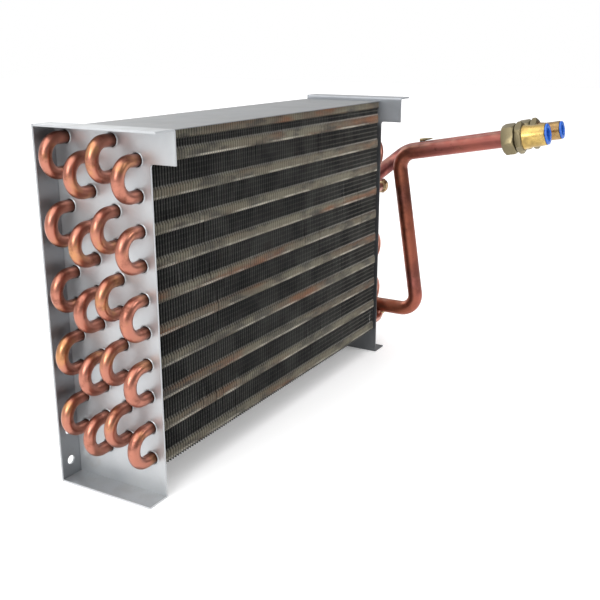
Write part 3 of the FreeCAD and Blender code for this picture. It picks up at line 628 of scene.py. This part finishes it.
def at(x, y, z, turn=None):
    """A place in millimetres, with an optional turn."""
    place = Matrix.Translation(Vector((x, y, z)) * MM)
    return place @ turn if turn else place


TO_X = Matrix.Rotation(math.radians(90), 4, "Y")

# %% [markdown]
# ## Floor
#
# The floor is a plain pale sheet, large enough to be seen in every view. A slight glow of its own
# keeps the shadows light, as a white table lit from all sides would.

# %% Pale floor
bpy.ops.object.select_all(action="DESELECT")
bpy.ops.mesh.primitive_plane_add(size=12.0, location=(0.2, 0.0, 0.0))
floor = bpy.context.object
floor.name = "floor"
floor_paint, tree, shader = finish_named("floor_paint", 0.6)
shader.inputs["Base Color"].default_value = (0.90, 0.90, 0.90, 1.0)
shader.inputs["Emission Color"].default_value = (1.0, 1.0, 1.0, 1.0)
shader.inputs["Emission Strength"].default_value = 0.22
floor.data.materials.append(floor_paint)

# %% [markdown]
# ## The fins
#
# A real coil of this size has well over a hundred fins, a tenth of a millimetre thick and three
# apart. Each is pressed from strip: at the height of every front tube the outer few millimetres
# are pushed along X, which stiffens the edge. One fin is modelled from a plane that is cut into
# rows with bisect; the edge rows are moved along X; Solidify gives it its thickness; and an
# Array repeats it along the coil.

# %% One pressed fin
fin_low, fin_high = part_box("fin_pack")
FIN_SPACING = 3.175
FIN_COUNT = 119
FIN_FIRST_X = 12.25
PRESS = 2.0
PRESS_DEPTH = 4.2
BAND_ROWS = (-3.7, -2.9, 2.9, 6.6)
TOP_BAND = (271.6, 272.6)

bpy.ops.object.select_all(action="DESELECT")
bpy.ops.mesh.primitive_plane_add(size=1.0)
fins = bpy.context.object
fins.name = "fin_stack"
fin_size = fin_high - fin_low
middle = (fin_high + fin_low) / 2
fins.matrix_world = (Matrix.Translation((FIN_FIRST_X * MM, middle.y, middle.z)) @ TO_X
                     @ Matrix.Diagonal((fin_size.z, fin_size.y, 1.0, 1.0)))
bpy.ops.object.transform_apply(location=True, rotation=True, scale=True)
tube_levels = [FRONT_LOWEST_TUBE / MM + n * TUBE_PITCH / MM for n in range(10)]
bpy.ops.object.mode_set(mode="EDIT")
for tube_level in tube_levels:
    for row in BAND_ROWS:
        bpy.ops.mesh.select_all(action="SELECT")
        bpy.ops.mesh.bisect(plane_co=(0, 0, (tube_level + row) * MM), plane_no=(0, 0, 1))
for row in TOP_BAND:
    bpy.ops.mesh.select_all(action="SELECT")
    bpy.ops.mesh.bisect(plane_co=(0, 0, row * MM), plane_no=(0, 0, 1))
for depth in (fin_low.y / MM + PRESS_DEPTH, fin_high.y / MM - PRESS_DEPTH):
    bpy.ops.mesh.select_all(action="SELECT")
    bpy.ops.mesh.bisect(plane_co=(0, depth * MM, 0), plane_no=(0, 1, 0))
bpy.ops.object.mode_set(mode="OBJECT")
print("fin rows cut:", len(fins.data.polygons), "faces")


# %% Press the bands outward
def choose(mesh, test):
    """Select the vertices whose place passes a test, and nothing else."""
    for polygon in mesh.polygons:
        polygon.select = False
    for edge in mesh.edges:
        edge.select = False
    count = 0
    for vertex in mesh.vertices:
        vertex.select = test(vertex.co)
        count += vertex.select
    return count


def in_band(co):
    on_edge = min(abs(co.y - fin_low.y), abs(co.y - fin_high.y)) < 1e-5
    heights = [co.z / MM - tube_level for tube_level in tube_levels]
    return on_edge and (co.z / MM > TOP_BAND[1] - 0.05 or any(-2.95 < h < 2.95 for h in heights))


pressed = choose(fins.data, in_band)
bpy.ops.object.mode_set(mode="EDIT")
bpy.ops.mesh.select_mode(type="VERT")
bpy.ops.transform.translate(value=(PRESS * MM, 0, 0))
bpy.ops.mesh.select_all(action="SELECT")
bpy.ops.mesh.normals_make_consistent(inside=False)
bpy.ops.object.mode_set(mode="OBJECT")
print("pressed points:", pressed)

thicken = fins.modifiers.new("thickness", "SOLIDIFY")
thicken.thickness = 0.15 * MM
thicken.offset = 0.0
bpy.ops.object.modifier_apply(modifier=thicken.name)
row_of_fins = fins.modifiers.new("row", "ARRAY")
row_of_fins.count = FIN_COUNT
row_of_fins.use_relative_offset = False
row_of_fins.use_constant_offset = True
row_of_fins.constant_offset_displace = (FIN_SPACING * MM, 0, 0)
bpy.ops.object.modifier_apply(modifier=row_of_fins.name)

# %% [markdown]
# Fins this thin never stay perfect. A few have been knocked over at the front, and the lowest
# corner by the header plate is frayed. Single spots are picked by place and pushed sideways.

# %% Knocks and a frayed corner
luck = random.Random(7)
KNOCKS = 80
FRAY_FROM_X = 0.366
FRAY_TO_X = 0.389
FRAY_BELOW_Z = 0.052
EDGE_BAND = 1e-4
fin_points = fins.data.vertices
for _ in range(KNOCKS):
    fin_number = luck.randrange(2, FIN_COUNT - 2)
    x = (FIN_FIRST_X + fin_number * FIN_SPACING) * MM
    z = luck.uniform(fin_low.z + 0.01, fin_high.z - 0.01)
    reach = luck.uniform(0.003, 0.012)
    push = luck.uniform(-0.9, 0.9) * MM
    for point in fin_points:
        if (point.co.y < fin_low.y + EDGE_BAND and abs(point.co.z - z) < reach
                and abs(point.co.x - x - PRESS / 2 * MM) < (PRESS / 2 + 0.3) * MM):
            point.co.x += push
for point in fin_points:
    if point.co.y < fin_low.y + EDGE_BAND and point.co.x > FRAY_FROM_X and point.co.z < FRAY_BELOW_Z:
        amount = (point.co.x - FRAY_FROM_X) / (FRAY_TO_X - FRAY_FROM_X)
        point.co.x += luck.uniform(-1.0, 0.3) * amount * MM
        point.co.y += luck.uniform(0.0, 1.6) * amount * MM
dressed(fins, fin_metal, "core", ["fin_pack"], smooth=0)

# %% [markdown]
# ## Stamped collars
#
# Where a tube passes through an end plate, the punch leaves a small rounded lip round the hole.
# One lip is turned as a ring and copied to the forty tubes of each plate.

# %% Lips round the tube holes
ROW_Y = [-33.0, -11.0, 11.0, 33.0]
tube_places = [(y, tube_level + (12.7 if row % 2 else 0.0))
               for row, y in enumerate(ROW_Y) for tube_level in tube_levels]
LIP = [(5.15, 0.30), (5.2, -0.30), (5.35, -0.42), (5.6, -0.36), (5.95, -0.08), (6.1, 0.25), (5.15, 0.30)]
for plate, face_x, side in (("bend", BEND_FACE_X / MM, 1), ("header", HEADER_FACE_X / MM, -1)):
    lip = turned("lip", LIP, 28)
    places = [at(face_x, y, z, TO_X if side > 0 else TO_X.inverted()) for y, z in tube_places]
    lips = copies(lip, plate + "_plate_lips", places)
    dressed(lips, plate_zinc, "core", smooth=60.0)

# %% [markdown]
# ## Braze
#
# At the header end each tube is belled, and the leg of a bend is brazed into the bell. The braze
# stands as a little collar in the mouth of the bell. The feeders and the branch pipe are brazed
# to their headers in the same way, with a thicker bead.

# %% Braze beads
BELL_MOUTH_X = 399.0
BEAD = [(4.72, 1.5), (4.95, 0.85), (5.32, 0.25), (5.42, -0.25), (5.2, -0.7), (4.72, -0.7), (4.72, 1.5)]
bead = turned("bead", BEAD, 24)
beads = copies(bead, "bell_beads", [at(BELL_MOUTH_X, y, z, TO_X) for y, z in tube_places])
dressed(beads, braze_metal, "core", smooth=70.0)

HEADER_X = 427.0
INLET_Z = tube_levels[6]
OUTLET_Z = 45.0
FEEDER_BEAD = [(4.7, 1.6), (5.6, 0.5), (6.3, -0.4), (6.2, -1.1), (4.7, -1.4), (4.7, 1.6)]
bead = turned("bead", FEEDER_BEAD, 28)
header_face = HEADER_X - 7.94
joints = [at(header_face - 0.6, ROW_Y[row], INLET_Z, TO_X.inverted()) for row in (0, 2)]
joints += [at(HEADER_X, ROW_Y[row], OUTLET_Z - 8.5, Matrix.Rotation(math.pi, 4, "X")) for row in (0, 2)]
feeder_beads = copies(bead, "feeder_beads", joints)
dressed(feeder_beads, braze_metal, "core", smooth=70.0)

# %% [markdown]
# ## Unions
#
# Each connection ends in a union: a hexagon nut that turns on the pipe, and a body with its own
# hexagon, an outside thread inside the nut, and a smooth nose. Nut and body are made along Z and
# then laid on the run, which leaves the coil along -Y and climbs a little. The hexagons start as
# six-sided cylinders; what they share with a turned envelope has the curved chamfer of a real
# nut. The thread is cut as ridges on the turned spigot.

# %% Where the two runs are
RUN_TILT = math.radians(10.4)
RUN = Vector((0.0, -math.cos(RUN_TILT), math.sin(RUN_TILT)))
RUN_TURN = RUN.to_track_quat("Z", "Y").to_matrix().to_4x4()
HEX_FLATS = 28.5
HEX_RADIUS = HEX_FLATS / 2 / math.cos(math.pi / 6)
NUT_LENGTH = 12.7
BODY_FROM = NUT_LENGTH + 1.0
BODY_HEX = 6.5
BODY_TO = BODY_FROM + BODY_HEX
NOSE_LENGTH = 23.0


def nut_back(side):
    """Centre of the nut's back face, from the nut's own corner nearest the coil."""
    low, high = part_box(side + "_union_nut")
    centre = (low + high) / 2
    return centre - RUN * (NUT_LENGTH / 2 * MM)


def hexagon_piece(name, start, length, chamfer):
    """A six-sided bar whose corners are turned off at both ends."""
    bpy.ops.object.select_all(action="DESELECT")
    bpy.ops.mesh.primitive_cylinder_add(vertices=6, radius=HEX_RADIUS * MM, depth=length * MM,
                                        location=(0, 0, (start + length / 2) * MM))
    bar = bpy.context.object
    bar.name = name
    select_only(bar)
    bpy.ops.object.transform_apply(location=True, rotation=True, scale=True)
    small = HEX_FLATS / 2 - 0.15
    wide = HEX_RADIUS + 0.05
    envelope = turned("envelope", [(small, start - 0.001), (wide, start + chamfer),
                                   (wide, start + length - chamfer), (small, start + length + 0.001)], 72)
    return combine(bar, envelope, "INTERSECT")


def union_nut(side, finish):
    """The nut: a hexagon bored for the pipe behind and for the thread in front."""
    nut = hexagon_piece(side + "_nut_detail", 0.0, NUT_LENGTH, 1.9)
    bore = turned("bore", [(8.2, -1.0), (8.2, 2.5), (9.6, 2.6), (10.15, 3.2), (10.15, 11.6), (10.9, 12.8),
                           (10.9, 14.0)], 64)
    combine(nut, bore, "DIFFERENCE")
    softened(nut, 0.35, 2, 28.0)
    spin = Matrix.Rotation(math.radians(12.0 + 30.0), 4, "Z")
    put(nut, Matrix.Translation(nut_back(side)) @ RUN_TURN @ spin)
    return dressed(nut, finish, side + "_nut", [side + "_union_nut"], smooth=28.0)


def union_body(side, nose_od, finish):
    """The body: thread ridges and nose turned as one core, then joined to its hexagon."""
    nose = nose_od / 2
    nose_end = BODY_TO + NOSE_LENGTH
    thread = []
    top = 6.6
    while top < BODY_FROM - 1.6:
        thread += [(9.35, top), (9.95, top + 0.45), (9.95, top + 0.6), (9.35, top + 1.05)]
        top += 1.4
    outside = [(8.0, 6.3), (9.2, 6.3)] + thread + [(9.3, BODY_FROM - 0.7), (10.4, BODY_FROM - 0.4),
                                                    (12.6, BODY_FROM + 0.4), (12.6, BODY_TO + 0.6),
                                                    (nose + 1.15, BODY_TO + 0.7),
                                                    (nose + 1.0, BODY_TO + 2.6), (nose + 0.7, BODY_TO + 5.2),
                                                    (nose + 0.25, BODY_TO + 7.4), (nose, BODY_TO + 9.0),
                                                    (nose, nose_end - 0.5), (nose - 0.4, nose_end)]
    inside = [(nose - 2.3, nose_end), (nose - 2.6, nose_end - 0.3), (nose - 2.6, nose_end - 11.8),
              (5.44, nose_end - 12.0), (5.44, 18.2), (7.99, 18.0), (8.0, 6.3)]
    core = turned("core", outside + inside, 72)
    hexagon = hexagon_piece(side + "_body_detail", BODY_FROM, BODY_HEX, 1.6)
    hollow = turned("hollow", [(8.6, BODY_FROM - 1.0), (8.6, BODY_TO + 1.0)], 48)
    combine(hexagon, hollow, "DIFFERENCE")
    softened(hexagon, 0.35, 2, 28.0)
    combine(hexagon, core, "UNION")
    on_nose = [face.index for face in hexagon.data.polygons if face.center.z > (BODY_TO + 0.65) * MM]
    put(hexagon, Matrix.Translation(nut_back(side)) @ RUN_TURN)
    return dressed(hexagon, dull_brass, side + "_union", [side + "_union_body"],
                   smooth=30.0, second=(finish, on_nose))


def dust_plug(side, nose_od):
    """A moulded cup: a shank inside the nose and a thin rim outside it, open to the front."""
    nose = nose_od / 2
    rim = nose - 0.45
    shank = nose - 2.9
    start = BODY_TO + NOSE_LENGTH + 0.3
    profile = [(shank - 1.4, start - 11.0), (shank, start - 11.0), (shank, start - 0.6), (shank + 0.2, start),
               (rim - 0.4, start), (rim, start + 0.4), (rim, start + 1.2), (rim - 0.2, start + 1.65),
               (rim - 0.55, start + 1.8), (shank - 0.9, start + 1.8), (shank - 1.4, start + 1.3),
               (shank - 1.6, start - 8.6), (1.2, start - 8.8), (1.2, start - 10.8),
               (shank - 1.4, start - 11.0)]
    plug = turned(side + "_plug_detail", profile, 64)
    put(plug, Matrix.Translation(nut_back(side)) @ RUN_TURN)
    return dressed(plug, plug_blue, side + "_plug", [side + "_dust_plug"], smooth=40.0)


for side, nose_od, nose_finish in (("outlet", 22.0, bright_brass), ("inlet", 19.2, aged_brass)):
    union_nut(side, dull_brass)
    union_body(side, nose_od, nose_finish)
    dust_plug(side, nose_od)

# %% [markdown]
# ## Finishes for the pieces that keep their measured shape
#
# The plates, the cover, the tubes and the pipes are already right in shape, so they keep it and
# only take a finish.

# %% Dress the measured pieces
FINISHES = {
    "bend_end_plate": plate_zinc, "header_end_plate": header_zinc, "top_cover": cover_zinc,
    "outlet_pipe": outlet_copper, "inlet_pipe": inlet_copper, "inlet_header": inlet_copper,
    "inlet_feeders": rear_copper, "outlet_feeders": rear_copper, "vent_stub": dull_brass,
    "inlet_header_cap": outlet_copper, "outlet_header_cap": outlet_copper,
    "inlet_header_plug": aged_brass, "outlet_olive": bright_brass, "inlet_olive": bright_brass,
    "outlet_seal": seal_black, "inlet_seal": seal_black, "fin_pack": fin_metal,
    "outlet_union_nut": dull_brass, "inlet_union_nut": dull_brass,
    "outlet_union_body": dull_brass, "inlet_union_body": dull_brass,
    "outlet_dust_plug": plug_blue, "inlet_dust_plug": plug_blue,
}
for name, node in nodes.items():
    finish = FINISHES.get(name)
    if finish is None:
        finish = bend_copper if name.startswith("hairpins") else rear_copper
    if node.data.materials:
        for number in range(len(node.data.materials)):
            node.data.materials[number] = finish
    else:
        node.data.materials.append(finish)
